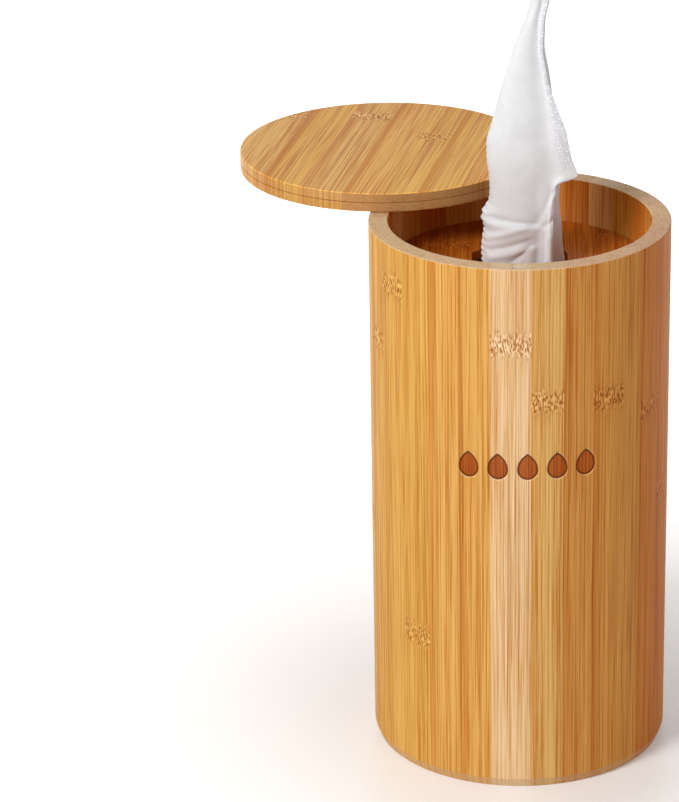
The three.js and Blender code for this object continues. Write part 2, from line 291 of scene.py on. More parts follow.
class Graph:
    """A material's nodes, written as a few short calls."""

    def __init__(self, name):
        self.material = bpy.data.materials.new(name)
        self.material.use_nodes = True
        self.tree = self.material.node_tree
        self.tree.nodes.clear()
        self.shader = self.add("ShaderNodeBsdfPrincipled")
        output = self.add("ShaderNodeOutputMaterial")
        self.tree.links.new(self.shader.outputs[0], output.inputs[0])

    def add(self, kind, inputs=(), **settings):
        """A node with its settings, and with values or links in its inputs."""
        node = self.tree.nodes.new(kind)
        for key, value in settings.items():
            setattr(node, key, value)
        for key, value in dict(inputs).items():
            self.put(node.inputs[key], value)
        return node

    def put(self, socket, value):
        if isinstance(value, bpy.types.NodeSocket):
            self.tree.links.new(value, socket)
        elif isinstance(value, tuple) and len(value) == 3 and socket.type == "RGBA":
            socket.default_value = (*value, 1)
        else:
            socket.default_value = value

    def set(self, **values):
        """Values or links for the shader's inputs, named with _ for each space."""
        for key, value in values.items():
            self.put(self.shader.inputs[key.replace("_", " ")], value)

    def math(self, operation, a, b=0.0, c=0.0):
        return self.add("ShaderNodeMath", {0: a, 1: b, 2: c}, operation=operation).outputs[0]

    def plus(self, a, b):
        return self.math("ADD", a, b)

    def minus(self, a, b):
        return self.math("SUBTRACT", a, b)

    def times(self, a, b):
        return self.math("MULTIPLY", a, b)

    def over(self, a, b):
        return self.math("DIVIDE", a, b)

    def times_plus(self, a, b, c):
        return self.math("MULTIPLY_ADD", a, b, c)

    def mix(self, factor, a, b, blend="MIX"):
        node = self.add("ShaderNodeMix", {0: factor, 6: a, 7: b}, data_type="RGBA", blend_type=blend)
        return node.outputs[2]

    def toned(self, colour, by):
        """A colour multiplied by another one."""
        return self.mix(1.0, colour, by, "MULTIPLY")

    def span(self, value, low, high, to_low=0.0, to_high=1.0):
        """A smooth step from to_low to to_high as the value goes from low to high."""
        inputs = {0: value, 1: low, 2: high, 3: to_low, 4: to_high}
        return self.add("ShaderNodeMapRange", inputs, interpolation_type="SMOOTHSTEP").outputs[0]

    def vector(self, x, y, z):
        return self.add("ShaderNodeCombineXYZ", {0: x, 1: y, 2: z}).outputs[0]

    def parts(self, name):
        """The three values of an attribute of the mesh."""
        vector = self.add("ShaderNodeAttribute", attribute_name=name).outputs["Vector"]
        return self.add("ShaderNodeSeparateXYZ", {0: vector}).outputs

    def noise(self, vector, scale=1.0, detail=2.0, roughness=0.55):
        inputs = {"Vector": vector, "Scale": scale, "Detail": detail, "Roughness": roughness}
        return self.add("ShaderNodeTexNoise", inputs).outputs[0]

    def bump(self, height, distance, strength=1.0):
        inputs = {"Height": height, "Distance": distance, "Strength": strength}
        return self.add("ShaderNodeBump", inputs).outputs[0]

    def here(self):
        return self.add("ShaderNodeTexCoord").outputs["Object"]

    def from_axis(self):
        """Distance from the upright axis."""
        x, y = self.add("ShaderNodeSeparateXYZ", {0: self.here()}).outputs[:2]
        return self.math("SQRT", self.plus(self.times(x, x), self.times(y, y)))


def node_mark(g, side, off, stroke, edge, deeper, dark, bright):
    """A band of short dark and pale strokes, in a board that is a little browner round it."""
    square = g.times(off, off)
    around = g.math("POWER", math.e, g.times(square, -0.5))
    near = g.math("POWER", math.e, g.times(g.times(square, square), -1.0))
    side = g.mix(g.times(around, g.times(edge, 0.5)), side, deeper)
    side = g.mix(g.times(near, g.span(stroke, 0.5, 0.57, 0.0, 0.95)), side, dark)
    side = g.mix(g.times(near, g.span(stroke, 0.49, 0.41, 0.0, 0.95)), side, bright)
    return side, near


def end_grain(g, tint, sawn_tint, across):
    """A sawn end: dark dots of fibre bundles, uneven pith, and fine marks from turning."""
    cells = g.add("ShaderNodeTexVoronoi", {"Vector": g.here(), "Scale": 1 / (0.85 * MM)})
    bundle = g.span(cells.outputs["Distance"], 0.42, 0.16)
    pith = g.noise(g.here(), 1 / (2.6 * MM), 3.0)
    turning = g.noise(g.vector(g.over(g.from_axis(), 0.35 * MM), g.over(across, 9 * MM), 0.0))
    sawn = g.mix(0.6, tint, sawn_tint)
    sawn = g.mix(g.span(turning, 0.35, 0.65, 0.0, 0.3), sawn, g.toned(sawn, (0.72, 0.66, 0.6)))
    sawn = g.mix(g.times(bundle, 0.65), sawn, g.toned(tint, (0.5, 0.4, 0.3)))
    sawn = g.mix(g.span(pith, 0.4, 0.7, 0.0, 0.22), sawn, g.toned(tint, (0.6, 0.5, 0.4)))
    return sawn, bundle


def burnt_in(g, tone, colour, rough):
    """The sunk drops: browned inside and darkest along their edge."""
    depth = g.add("ShaderNodeAttribute", attribute_name="burn").outputs["Fac"]
    inner = g.span(depth, 0.05 * MM, -0.15 * MM)
    rim = g.times(inner, g.span(depth, -1.15 * MM, -0.4 * MM))
    char = g.mix(g.span(tone, 0.3, -0.4), srgb(184, 92, 34), srgb(146, 62, 18))
    char = g.mix(rim, char, srgb(100, 40, 12))
    return g.mix(g.times(inner, 0.95), colour, char), g.times_plus(inner, 0.25, rough)


def bamboo(name, roughness=0.5, coat=0.0, contrast=1.0, deep=None, burnt=False, sawn_tint=BEIGE):
    """Glued bamboo: long fibres, denser dark strands, node marks, and dotted end grain."""
    g = Graph(name)
    across, along, end = g.parts("grain")
    seed, mark, inside = g.parts("board")
    dye = g.add("ShaderNodeAttribute", attribute_name="tint")
    tint, edge = dye.outputs["Color"], dye.outputs["Alpha"]
    # deep multiplies a darker tone into the tint; for the plate it is partly its own tone and partly
    # painted shade of the recess
    if deep:
        tint = g.toned(tint, deep)

    def fibre(width, length, shift, detail=2.0):
        x = g.times_plus(across, 1 / width, g.times(seed, 91.0))
        y = g.times_plus(along, 1 / length, shift)
        return g.noise(g.vector(x, y, g.times(seed, 37.0)), 1.0, detail)

    def shifted(value, amount):
        return g.times(g.minus(value, 0.5), amount * contrast)

    fine = g.span(fibre(0.3 * MM, 38 * MM, 3.1), 0.3, 0.7)
    middle = g.span(fibre(0.9 * MM, 110 * MM, 7.7, 3.0), 0.28, 0.72)
    broad = fibre(5.5 * MM, 260 * MM, 1.3)
    strand = g.span(fibre(0.45 * MM, 170 * MM, 5.9, 1.0), 0.57, 0.7)
    dense = g.times(g.span(g.plus(inside, g.times(middle, 0.3)), -0.15, -0.6), edge)

    tone = g.plus(shifted(fine, 0.75), g.plus(shifted(middle, 0.65), shifted(broad, 1.0)))
    deeper = g.toned(tint, (0.76, 0.5, 0.26))
    paler = g.toned(tint, (1.13, 1.2, 1.42))
    bright = g.toned(tint, (1.25, 1.4, 1.8))
    dark = g.toned(tint, (0.52, 0.29, 0.11))
    side = g.mix(g.span(tone, 0.0, -0.5), tint, deeper)
    side = g.mix(g.span(tone, 0.0, 0.5), side, paler)
    side = g.mix(g.times(dense, 0.75), side, deeper)
    side = g.mix(g.times(strand, g.times_plus(dense, 0.3, 0.6)), side, dark)

    wander = g.times_plus(g.minus(middle, 0.5), 4 * MM, along)
    off = g.over(g.minus(wander, mark), MARK_HALF)
    stroke = fibre(0.6 * MM, 2.1 * MM, 2.2, 3.0)
    side, near = node_mark(g, side, off, stroke, edge, deeper, dark, bright)
    sawn, bundle = end_grain(g, tint, sawn_tint, across)
    colour = g.mix(end, side, sawn)

    height = g.times_plus(fine, 0.5, g.times(middle, 0.5))
    height = g.times_plus(strand, -0.35, height)
    height = g.times_plus(g.times(near, stroke), -1.8, height)
    height = g.plus(height, g.times(end, g.minus(g.times(bundle, -0.8), height)))
    rough = g.times_plus(middle, 0.16, roughness - 0.08)
    if burnt:
        colour, rough = burnt_in(g, tone, colour, rough)
    g.set(Base_Color=colour, Roughness=rough, Normal=g.bump(height, 0.12 * MM, 0.6))
    g.set(Coat_Weight=coat, Coat_Roughness=0.25, Specular_IOR_Level=0.07)
    return g.material


def nonwoven(name):
    """A thin, damp, spunlaced wipe: soft fibres, and embossed dots that show most where it is single."""
    g = Graph(name)
    run, rise, single = g.parts("cloth")
    place = g.vector(run, rise, 0.0)
    drawn_out = g.vector(g.over(run, 0.5 * MM), g.over(rise, 2.2 * MM), 0.0)
    fibres = g.noise(drawn_out, 1.0, 3.0)
    cloudy = g.noise(g.here(), 1 / (7 * MM), 3.0)
    cells = g.add("ShaderNodeTexVoronoi", {"Vector": place, "Scale": 1 / (1.35 * MM), "Randomness": 0.45})
    dots = g.span(cells.outputs["Distance"], 0.5, 0.26)
    shown = g.times(dots, g.times_plus(single, 0.9, 0.1))
    base = g.mix(g.span(cloudy, 0.3, 0.7), srgb(231, 232, 234), srgb(238, 239, 241))
    # greyer and bluer where the sheet is single: painted shade standing in for light passing through the
    # thin sheet
    base = g.mix(g.times(single, 0.8), base, srgb(220, 221, 229))
    colour = g.mix(g.times(shown, 0.9), base, srgb(252, 252, 254))
    height = g.times_plus(fibres, 0.25, g.times(shown, 0.8))
    g.set(Base_Color=colour, Roughness=0.72, Normal=g.bump(height, 0.12 * MM, 0.45))
    g.set(Subsurface_Weight=0.25, Subsurface_Scale=1.2 * MM, Subsurface_Radius=Vector((1.0, 0.95, 0.92)))
    g.set(Sheen_Weight=0.25, Sheen_Roughness=0.5)
    return g.material


def rolled(name):
    """The roll: the edges of its turns show as fine rings on both ends."""
    g = Graph(name)
    uneven = g.noise(g.here(), 1 / (9 * MM), 2.0)
    turn = g.times_plus(uneven, 1.4 * MM, g.from_axis())
    rings = g.math("SINE", g.times(turn, 2 * math.pi / (0.8 * MM)))
    fibres = g.noise(g.here(), 1 / (0.8 * MM), 3.0)
    ridge = g.times_plus(rings, 0.5, 0.5)
    # paler on the ridges and darker between them: painted shade between the turns
    colour = g.mix(g.times(ridge, 0.5), srgb(206, 205, 203), srgb(234, 233, 231))
    height = g.times_plus(fibres, 0.4, ridge)
    g.set(Base_Color=colour, Roughness=0.85, Normal=g.bump(height, 0.15 * MM, 0.6))
    g.set(Sheen_Weight=0.2)
    return g.material


def plated(name, colour, roughness):
    """Metal with a fine turned finish and a few rubbed patches."""
    g = Graph(name)
    rubbed = g.noise(g.here(), 1 / (1.2 * MM), 3.0)
    fine = g.noise(g.here(), 1 / (0.15 * MM), 1.0)
    shade = g.mix(g.span(rubbed, 0.35, 0.7), colour, tuple(0.8 * c for c in colour))
    g.set(Base_Color=shade, Metallic=1.0, Normal=g.bump(fine, 0.02 * MM, 0.3))
    g.set(Roughness=g.times_plus(rubbed, 0.2, roughness))
    return g.material


# The tube

# Angles in degrees from the front toward +X, and marks in mm above the foot
STAVE_CUTS = (-49.6, -36.3, -23.6, -10.9, 4.4, 16.8, 28.8, 42.8, 52.1)
FRONT_TINTS = (GOLD, HONEY, HONEY, PALE, STRAW, AMBER, TAN, TAN)
FRONT_MARKS = (62.6, NO_MARK, NO_MARK, 198.0, 173.2, NO_MARK, 171.1, NO_MARK)
FRONT_EDGES = (0.2, 0.7, 0.5, 0.1, 0.3, 0.35, 0.6, 0.2)
SIDE_STAVES = 19
SIDE_TINTS = (RUSSET, RUSSET, AMBER, STRAW, TAN, GOLD, PALE, AMBER, HONEY, TAN, STRAW, GOLD, RUSSET,
              HONEY, PALE, TAN, STRAW, GOLD, GOLD)
DROP_COUNT = 5
DROP_PITCH = 12.2 * MM
DROP_RADIUS = 4.3 * MM
DROP_HEIGHT = 11.5 * MM
DROP_SINK = 0.5 * MM
DROP_LEVEL = 145.5 * MM
DROP_TURN = math.radians(3.2)
DROPS_HALF = (DROP_COUNT - 1) / 2 * DROP_PITCH + DROP_RADIUS  # half the length of the row
DROPS_LOW = DROP_LEVEL - DROP_HEIGHT / 2 - MM
DROPS_HIGH = DROP_LEVEL + DROP_HEIGHT / 2 + MM
SINK_SLOPE = 0.5 * MM  # width of the slope from the wall into a drop
CUT_STEP = 0.36 * MM
COLUMN_STEP = math.radians(1.5)
WALL_ROW = 12 * MM  # the first row above the foot's bevel
BORE_PAINTED_SHADE = (0.84, 0.62, 0.36)  # painted shade: how much darker and redder the bore's colour is made
ARRIS_PAINTED_HIGHLIGHT = (1.3, 1.36, 1.5)  # and how much paler a rounded arris is made, as a painted highlight
FIRST_SIDE_MARK = 160.0
LAST_SIDE_MARK = 213.1


def stave_cuts():
    """The angles between the staves: as in the photo in front, and even round the rest."""
    last, first = STAVE_CUTS[-1], STAVE_CUTS[0] + 360
    rest = [last + (first - last) * k / SIDE_STAVES for k in range(1, SIDE_STAVES + 1)]
    return np.radians(np.array(list(STAVE_CUTS) + rest))


def staves():
    """The staves' tints, node marks in mm above the foot, and denser edges."""
    marks = list(FRONT_MARKS)
    edges = list(FRONT_EDGES)
    for k in range(SIDE_STAVES):
        marks.append((35 + 83 * k) % 210 if k % 3 else NO_MARK)
        edges.append(0.2 + 0.5 * ((k * 7) % 5) / 4)
    marks[len(FRONT_MARKS)] = FIRST_SIDE_MARK
    marks[-1] = LAST_SIDE_MARK
    return Boards(stave_cuts() * RADIUS, FRONT_TINTS + SIDE_TINTS, in_metres(marks), edges)


def drop_outline():
    """The outline of one drop, point up, round its own middle."""
    low = -DROP_HEIGHT / 2 + DROP_RADIUS
    t = np.linspace(0, 1, 16)[:, None]
    tip, control = np.array([0, DROP_HEIGHT / 2]), np.array([-DROP_RADIUS, low + DROP_RADIUS])
    waist = np.array([-DROP_RADIUS, low])
    left = tip * (1 - t) ** 2 + 2 * control * t * (1 - t) + waist * t * t
    a = np.linspace(math.pi, 2 * math.pi, 33)[1:-1]
    bowl = np.stack([DROP_RADIUS * np.cos(a), low + DROP_RADIUS * np.sin(a)], -1)
    right = left[::-1] * [-1, 1]
    return np.vstack([left, bowl, right[:-1]])


def depth_in(outline, points):
    """Signed distance of points to an outline, negative inside."""
    a, b = outline, np.roll(outline, -1, axis=0)
    edge = b - a
    away = points[:, None] - a[None]
    t = np.clip((away * edge).sum(-1) / (edge ** 2).sum(-1), 0, 1)
    distance = np.linalg.norm(away - t[..., None] * edge, axis=-1).min(1)
    y, ya, yb = points[:, 1, None], a[None, :, 1], b[None, :, 1]
    crossing = (ya > y) != (yb > y)
    height = np.where(yb - ya == 0, 1, yb - ya)
    x = a[None, :, 0] + (y - ya) / height * edge[None, :, 0]
    inside = (crossing & (points[:, 0, None] < x)).sum(1) % 2 == 1
    return np.where(inside, -distance, distance)


def sunk_drops(arc, level):
    """How far each place on the outer wall lies from the nearest drop, negative inside it."""
    outline = drop_outline()
    best = np.full(arc.shape, 1.0)
    for k in range(DROP_COUNT):
        middle = (k - (DROP_COUNT - 1) / 2) * DROP_PITCH
        points = np.stack([arc - middle, level - DROP_LEVEL], -1)
        best = np.minimum(best, depth_in(outline, points))
    return best


def tube_angles():
    """Columns: each stave divided evenly, and fine ones across the row of drops."""
    half = (DROPS_HALF + MM) / RADIUS + DROP_TURN
    columns = []
    cuts = stave_cuts()
    for low, high in zip(cuts[:-1], cuts[1:]):
        fine = low < half and high > -half
        count = math.ceil((high - low) / (CUT_STEP / RADIUS if fine else COLUMN_STEP))
        columns += [low + (high - low) * k / count for k in range(count)]
    return np.array(columns)


def tube_profile():
    """Up the outer wall, over the rim, down the bore and round the foot."""
    rows = math.ceil((DROPS_HIGH - DROPS_LOW) / CUT_STEP)
    outer = [
        (RADIUS - FOOT_BEVEL_WIDTH, 0, FOOT_ROUND),
        (RADIUS, FOOT_BEVEL_HEIGHT, BEVEL_ROUND),
        (RADIUS, FOOT_BEVEL_HEIGHT + WALL_ROW, 0),
    ]
    outer += [(RADIUS, DROPS_LOW + (DROPS_HIGH - DROPS_LOW) * k / rows, 0) for k in range(rows + 1)]
    inner = [
        (RADIUS, HEIGHT, ARRIS),
        (BORE, HEIGHT, ARRIS),
        (BORE, LEDGE, 0),
        (LOWER_BORE, LEDGE, INNER_ROUND),
        (LOWER_BORE, DISC_HIGH.z, 0),
        (DISC_HIGH.x + BASE_FIT, DISC_HIGH.z, 0),
        (DISC_HIGH.x + BASE_FIT, 0, INNER_ROUND),
    ]
    return rounded(outer + inner, closed=True)


def burn_depths(profile, angles, points):
    """The distance to the nearest drop for points near the row, and 1 for all others."""
    turn = (angles - DROP_TURN + math.pi) % (2 * math.pi) - math.pi
    arc = np.broadcast_to(turn[:, None] * RADIUS, points.shape[:2])
    level = points[..., 2]
    near = np.isclose(profile[:, 0], RADIUS)[None] & (level > DROPS_LOW) & (level < DROPS_HIGH)
    near &= np.abs(arc) < DROPS_HALF + 2 * MM
    burn = np.full(points.shape[:2], 1.0)
    burn[near] = sunk_drops(arc[near], level[near])
    return burn


def round_tube(place):
    """Place along the tube's girth, from the first stave on."""
    angle = np.arctan2(place[:, 0], -place[:, 1])
    first = stave_cuts()[0]
    return ((angle - first) % (2 * math.pi) + first) * RADIUS


def tube_ends(place, normal):
    """End grain shows fully on the rim, and half on the ledge and the foot."""
    flat = np.abs(normal[:, 2]) > SLANT[0]
    return flat * np.where(place[:, 2] > LEDGE, 1.0, 0.5)


def tube_painted_light(place, normal):
    """Painted shade in the bore, and a painted highlight on the rim's arrises."""
    inward = -(place[:, :2] * normal[:, :2]).sum(1) / np.hypot(place[:, 0], place[:, 1])
    arris = (normal[:, 2] > SLANT[0]) & (normal[:, 2] < SLANT[1])
    # painted shade: the faces of the bore are made darker and redder
    colour = np.where(inward[:, None] > 0.75, BORE_PAINTED_SHADE, 1.0)
    # painted highlight: the rim's rounded arrises are made paler
    return np.where(arris[:, None], ARRIS_PAINTED_HIGHLIGHT, colour)


def tube():
    """The turned tube, with the drops sunk in its wall and the holes for the magnet and the pin."""
    profile, angles = tube_profile(), tube_angles()
    points = revolved(profile, angles)
    burn = burn_depths(profile, angles, points)
    sink = DROP_SINK * np.clip(0.5 - burn / SINK_SLOPE, 0, 1)
    points[..., :2] *= (1 - sink / RADIUS)[..., None]
    obj = grid_object("bamboo_tube", points)
    layer = obj.data.attributes.new("burn", "FLOAT", "POINT")
    layer.data.foreach_set("value", burn.ravel().astype(np.float32))
    drilled(obj, (0, -PIN_TO_CENTRE), MAGNET_HOLE, HEIGHT - MAGNET_DEPTH, HEIGHT + DRILL_PAST)
    drilled(obj, (0, PIN_TO_CENTRE), PIN_HOLE, HEIGHT - PIN_DEPTH, HEIGHT + DRILL_PAST)
    girth = 2 * math.pi * RADIUS
    staves().dress(obj.data, round_tube, lambda place: place[:, 2], tube_ends, girth, tube_painted_light)
    obj.data.materials.append(bamboo("bamboo staves", burnt=True))
    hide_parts("tube")
    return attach(obj, "container")


# Round boards: the lid's plies, the plate and the base disc

# Cuts in mm across the boards, and marks along them
LID_CUTS = (-70, -42.5, -23.5, -5, 10, 25.5, 42, 70)
LID_TINTS = (STRAW, GOLD, STRAW, HONEY, GOLD, GOLD, HONEY)
LID_MARKS = (35.5, NO_MARK, 40, NO_MARK, 16.8, NO_MARK, 29.2)
LID_EDGES = (0.3, 1.0, 0.8, 1.0, 0.15, 1.0, 0.4)
GLUE_LINE = (0.4, 0.3, 0.22)  # how much darker the glued joint shows
GLUE_ROUND = 0.25 * MM
PLATE_CUTS = (-60, -38, -20, -3, 14, 31, 47, 60)
PLATE_TINTS = (TAN, AMBER, TAN, AMBER, TAN, AMBER, TAN)
PLATE_MARKS = (NO_MARK, 20, NO_MARK, -30, NO_MARK, 34, NO_MARK)
PLATE_EDGES = (0.5, 0.8, 0.4, 0.6, 0.9, 0.5, 0.7)
DISC_FLAT = 0.94  # radius of the polygon in a disc's middle, as a share of the disc's radius


def no_ends(place, normal):
    """No end grain anywhere."""
    return np.zeros(len(place))


def lid_boards(shift=0):
    """The boards of a disc, with the order of their tints shifted."""
    tints = [LID_TINTS[(k + shift) % len(LID_TINTS)] for k in range(len(LID_TINTS))]
    return Boards(np.array(LID_CUTS) * MM, tints, in_metres(LID_MARKS), LID_EDGES)


def disc(name, radius, low, high, rounds):
    """A round board whose lower and upper edges are rounded by the two sizes in rounds."""
    profile = rounded([
        (radius * DISC_FLAT, low, 0),
        (radius, low, rounds[0]),
        (radius, high, rounds[1]),
        (radius * DISC_FLAT, high, 0),
    ])
    points = revolved(profile, even_angles(DISC_COLUMNS))
    rows, columns = points.shape[:2]
    faces = grid_faces(rows, columns, True, False)
    faces.append([r * columns for r in range(rows)][::-1])
    faces.append([r * columns + columns - 1 for r in range(rows)])
    return mesh_object(name, points.reshape(-1, 3), faces)


def ply_ends(place, normal):
    """End grain on the rim where the boards run out, weaker toward the magnet's side."""
    radial = np.abs(place[:, 0]) / np.maximum(np.hypot(place[:, 0], place[:, 1]), 1e-6)
    upright = 1 - np.abs(normal[:, 2])
    shown = np.where(place[:, 1] > -5 * MM, 1.0, 0.45)
    return np.clip((radial - 0.45) / 0.3, 0, 1) * (upright > 0.5) * shown


def ply_highlight_and_glue(place, normal):
    """A painted highlight on the arrises, and dark where the two plies are glued."""
    slant = (np.abs(normal[:, 2]) > SLANT[0]) & (np.abs(normal[:, 2]) < SLANT[1])
    glued = slant & (np.abs(place[:, 2] - LID_LOW.z) < 0.4 * MM)
    # painted highlight: the rounded arrises are made paler
    colour = np.where(slant[:, None], ARRIS_PAINTED_HIGHLIGHT, 1.0)
    return np.where(glued[:, None], GLUE_LINE, colour)


def ply(name, node, rounds, boards):
    """One ply of the lid, made closed and in line with X, then swung open about the pin."""
    low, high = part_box(node)
    obj = disc(name, RADIUS, low.z, high.z, rounds)
    if node == "lid_bottom_ply":
        drilled(obj, (0, -PIN_TO_CENTRE), MAGNET_HOLE, low.z - DRILL_PAST, low.z + MAGNET_DEPTH)
    below = LID_LOW.z - LOWER_BOARD - DRILL_PAST
    drilled(obj, (0, PIN_TO_CENTRE), PIN_HOLE, below, LID_LOW.z + PIN_IN_LID)
    split_faces(obj, (0, 1, 0), boards.cuts[1:-1])
    boards.dress(obj.data, lambda p: p[:, 1], lambda p: -p[:, 0], ply_ends, deeper=ply_highlight_and_glue)
    pin = Vector((0, PIN_TO_CENTRE, 0))
    swing = Matrix.Translation(pin) @ Matrix.Rotation(-LID_OPEN_ANGLE, 4, "Z") @ Matrix.Translation(-pin)
    obj.data.transform(swing)
    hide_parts(node)
    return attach(obj, "lid")


def lid():
    """Two plies with the same look, whose boards don't line up."""
    look = bamboo("bamboo lid", roughness=0.4, contrast=1.3, sawn_tint=ROSY)
    lower = ply("lid_lower_board", "lid_bottom_ply", (ARRIS, GLUE_ROUND), lid_boards(3))
    upper = ply("lid_upper_board", "lid_top_ply", (GLUE_ROUND, ARRIS), lid_boards())
    for board in (lower, upper):
        board.data.materials.append(look)


def hole_outline():
    """The squared hole, counter-clockwise from its right side."""
    x, y, r = HOLE_WIDTH / 2, HOLE_DEPTH / 2, HOLE_CORNER
    per_corner = 9
    points = []
    for quarter, (sx, sy) in enumerate(((1, 1), (-1, 1), (-1, -1), (1, -1))):
        for k in range(per_corner + 1):
            a = (quarter + k / per_corner) * math.pi / 2
            points.append((sx * (x - r) + r * math.cos(a), sy * (y - r) + r * math.sin(a)))
    return np.array(points)


def edge_profile(low, high, size):
    """(inset, level) points up a board's edge, whose two arrises are rounded."""
    far = 1.0
    return rounded([(far, low, 0), (0, low, size), (0, high, size), (far, high, 0)])[1:-1]


def plate():
    """The lift-out plate: a ring between its round edge and the squared hole."""
    radius = PLATE_HIGH.x
    corners = hole_outline()
    turn = np.arctan2(corners[:, 1], corners[:, 0])
    order = np.argsort(turn)
    around = even_angles(PLATE_COLUMNS)
    turn, corners = turn[order], corners[order]
    hole = np.stack([np.interp(around, turn, corners[:, k], period=2 * math.pi) for k in (0, 1)], -1)
    rim = radius * np.stack([np.cos(around), np.sin(around)], -1)
    toward = (rim - hole) / np.linalg.norm(rim - hole, axis=1)[:, None]
    rings = []
    for inset, level in edge_profile(PLATE_LOW.z, PLATE_TOP, PLATE_ROUND):
        rings.append(np.column_stack([rim * (1 - inset / radius), np.full(len(around), level)]))
    for inset, level in edge_profile(PLATE_LOW.z, PLATE_TOP, HOLE_ROUND)[::-1]:
        rings.append(np.column_stack([hole + toward * inset, np.full(len(around), level)]))
    obj = grid_object("lift_out_plate", np.stack(rings))
    boards = Boards(np.array(PLATE_CUTS) * MM, PLATE_TINTS, in_metres(PLATE_MARKS), PLATE_EDGES)
    split_faces(obj, (1, 0, 0), boards.cuts[1:-1])
    boards.dress(obj.data, lambda p: p[:, 0], lambda p: p[:, 1], no_ends)
    # deep: a darker, redder tone, partly the plate's own and partly painted shade of the recess it sits
    # in
    look = bamboo("bamboo plate", roughness=0.3, coat=0.12, contrast=1.5, deep=(0.7, 0.44, 0.2))
    obj.data.materials.append(look)
    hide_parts("inner_plate")
    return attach(obj, "container")


def base():
    """The disc that closes the foot."""
    obj = disc("base_board", DISC_HIGH.x, DISC_LOW.z, DISC_HIGH.z, BASE_ROUNDS)
    boards = lid_boards(5)
    split_faces(obj, (0, 1, 0), boards.cuts[1:-1])
    boards.dress(obj.data, lambda p: p[:, 1], lambda p: p[:, 0], no_ends)
    obj.data.materials.append(bamboo("bamboo base", roughness=0.5))
    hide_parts("base_disc")
    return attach(obj, "container")


# The roll

ROLL_TURNS = 14  # ridges on each end
ROLL_ROUND = 1.5 * MM
ROLL_WAIST = 0.3 * MM
RIDGE = 0.6 * MM
CORE_ROUND = 0.4 * MM


def roll():
    """A wound ring: the edges of its turns stand in ridges on both ends."""
    outer, low, high = ROLL_HIGH.x, ROLL_LOW.z, ROLL_HIGH.z
    first = outer - ROLL_ROUND
    band = (first - CORE_RADIUS) / ROLL_TURNS
    profile = [(outer, low + ROLL_ROUND), (outer - ROLL_WAIST, (low + high) / 2)]
    profile.append((outer, high - ROLL_ROUND))
    for k in range(ROLL_TURNS):
        profile += [(first - k * band, high), (first - k * band - band / 2, high - RIDGE)]
    profile += [(CORE_RADIUS, high - CORE_ROUND), (CORE_RADIUS, low + CORE_ROUND)]
    for k in reversed(range(ROLL_TURNS)):
        profile += [(first - k * band - band / 2, low + RIDGE), (first - k * band, low)]
    obj = grid_object("wound_roll", revolved(np.array(profile), even_angles(ROLL_COLUMNS)))
    obj.data.materials.append(rolled("wipes on the roll"))
    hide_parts("wipes_roll")
    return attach(obj, "container")


# The drawn wipe

WIPE_RISE = 118 * MM
TAIL = WIPE_LOW.z - PLATE_TOP
CORE_MOUTH = ROLL_HIGH.z - PLATE_TOP
BELOW_PLATE = -8 * MM
SHEET = 0.4 * MM
PLEATS = 8
SCALLOP_PITCH = 2.6 * MM
SCALLOP_DEPTH = 1.1 * MM
TORN_WIDTH = 1.2 * MM
HEM_LEVEL = 19.3 * MM  # above the plate, at the hem's left end
HEM_START = -13 * MM
HEM_FALL = 0.07
HEM_STEP = 1.1 * MM
CORNER_LEVEL = 40 * MM
CORNER_CURL = 1.6 * MM
WIPE_ROWS = 204
WIPE_COLUMNS = 236
WIPE_REACH = (3.0, 3.5, 3.5, 0.7, 3.5)  # mm over which each side of the outline is softened
# Height as a share of the rise, then left, right, fold and loose corner as shares of half the
# hole's width, and half the depth as a share of half the hole's depth
WIPE_SHAPE = (
    (0, -0.754, 0.95, 0.508, 0.69, 0.545),
    (0.068, -0.785, 0.882, 0.513, 0.7, 0.57),
    (0.14, -0.723, 0.862, 0.513, 0.7, 0.57),
    (0.178, -0.846, 0.851, 0.528, 0.71, 0.558),
    (0.22, -0.662, 0.826, 0.559, 0.72, 0.533),
    (0.28, -0.656, 0.831, 0.625, 0.75, 0.52),
    (0.305, -0.656, 0.826, 0.64, 0.8, 0.512),
    (0.331, -0.656, 0.81, 0.645, 1.251, 0.505),
    (0.39, -0.672, 0.79, 0.626, 1.103, 0.485),
    (0.449, -0.677, 0.769, 0.595, 1.015, 0.455),
    (0.496, -0.59, 0.738, 0.564, 0.964, 0.43),
    (0.568, -0.482, 0.697, 0.533, 0.8, 0.388),
    (0.665, -0.323, 0.615, 0.462, 0.579, 0.327),
    (0.771, -0.128, 0.492, 0.359, 0.462, 0.255),
    (0.881, 0.123, 0.503, 0.379, 0.492, 0.212),
    (0.932, 0.226, 0.585, 0.441, 0.564, 0.188),
    (1, 0.215, 0.646, 0.482, 0.626, 0.218),
)


def wipe_rows():
    """Rows of (height, left, right, fold, corner, depth), in metres."""
    core = CORE_RADIUS
    rows = [
        (TAIL, -0.67 * core, 0.67 * core, 0.27 * core, 0.47 * core, 0.53 * core),
        (CORE_MOUTH, -0.73 * core, 0.8 * core, 0.4 * core, 0.6 * core, 0.6 * core),
    ]
    half, deep = HOLE_WIDTH / 2, HOLE_DEPTH / 2
    rows.append((BELOW_PLATE, -0.72 * half, 0.92 * half, 0.46 * half, 0.65 * half, 0.545 * deep))
    for share, *sides, depth in WIPE_SHAPE:
        rows.append((share * WIPE_RISE, *(side * half for side in sides), depth * deep))
    return np.array(rows)


def softened(values, pitch, reach):
    """Values along a line, averaged over a reach on both sides."""
    width = max(int(reach / pitch), 1)
    kernel = np.hanning(2 * width + 3)[1:-1]
    kernel /= kernel.sum()
    return np.convolve(np.pad(values, width, mode="edge"), kernel, mode="valid")


